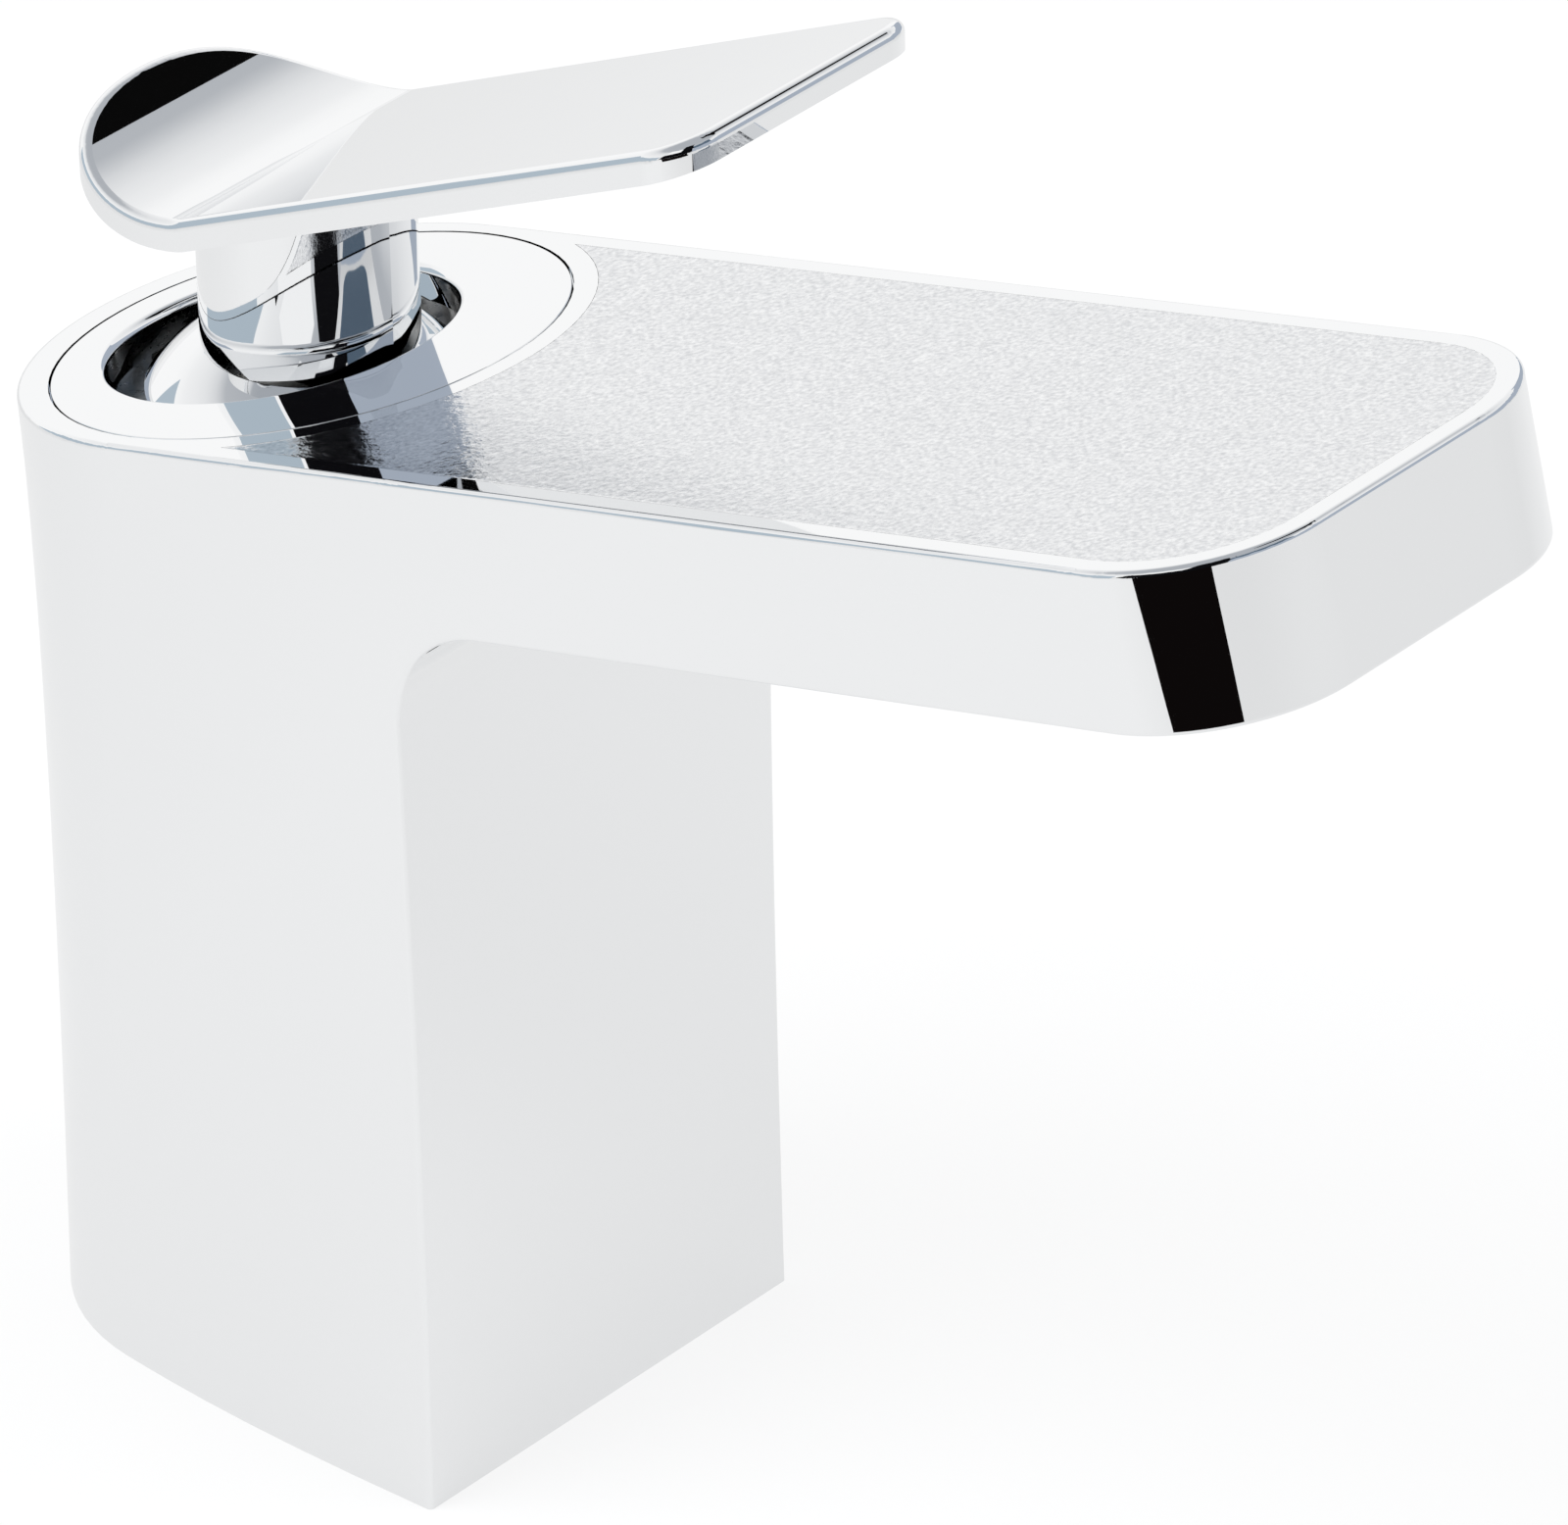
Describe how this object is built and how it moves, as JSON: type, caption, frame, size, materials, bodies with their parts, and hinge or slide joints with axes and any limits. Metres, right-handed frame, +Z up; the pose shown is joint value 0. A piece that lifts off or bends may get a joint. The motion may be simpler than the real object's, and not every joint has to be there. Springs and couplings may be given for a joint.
{
  "type": "single-lever mixer tap",
  "caption": "Single-lever mixer tap: a column with a flat rising spout, a textured top panel and a bent paddle lever on a ceramic disc cartridge.",
  "frame": {"origin": "centre of the mounting hole on the base plane, below the centre of the cover ring", "axes": "+X towards the spout's tip, +Z up, and the tap is alike on both sides of the XZ plane"},
  "size_m": [0.147, 0.05, 0.1374],
  "materials": {
    "chrome_body": "polished chrome plate over brass",
    "sparkle_chrome": "fine grained, sparkling chrome",
    "chrome_ring": "polished chrome plate",
    "chrome_dome": "polished chrome plate",
    "chrome_lever": "polished chrome plate over zinc alloy",
    "brass": "machined brass",
    "steel": "plain steel",
    "housing_plastic": "moulded white plastic",
    "grey_plastic": "moulded grey plastic",
    "ceramic": "lapped ceramic",
    "rubber": "black rubber"
  },
  "bodies": {
    "body": {"body_casting": "chrome_body", "base_seal": "rubber", "textured_inlay": "sparkle_chrome", "cover_ring": "chrome_ring", "ring_seal": "rubber", "cartridge_nut": "brass", "cartridge_housing": "housing_plastic", "cartridge_top_seal": "rubber", "cartridge_base": "grey_plastic", "port_seals": "rubber", "fixed_disc": "ceramic", "aerator_housing": "brass", "aerator_screen": "grey_plastic", "aerator_insert": "housing_plastic", "aerator_seal": "rubber"},
    "turret": {"turret": "grey_plastic", "spindle_pin": "steel"},
    "lever": {"lever": "chrome_lever", "dome_shroud": "chrome_dome", "grub_screw": "steel", "screw_plug": "chrome_lever", "spindle": "brass"},
    "slider": {"disc_carrier": "grey_plastic", "moving_disc": "ceramic"}
  },
  "joints": [
    {"name": "temperature_turn", "type": "hinge", "parent": "body", "child": "turret", "pos_m": [0, 0, 0.07979], "axis": [-0.2292, 0, 0.9734], "range_deg": [-45, 45]},
    {"name": "flow_lift", "type": "hinge", "parent": "turret", "child": "lever", "pos_m": [0, 0, 0.07979], "axis": [0, -1, 0], "range_deg": [0, 25]},
    {"name": "disc_slide", "type": "slide", "parent": "turret", "child": "slider", "axis": [0.9734, 0, 0.2292], "range_m": [0, 0.0031]}
  ],
  "couplings": [
    {"joint": "disc_slide", "follows": "flow_lift", "m_per_rad": 0.006944}
  ]
}
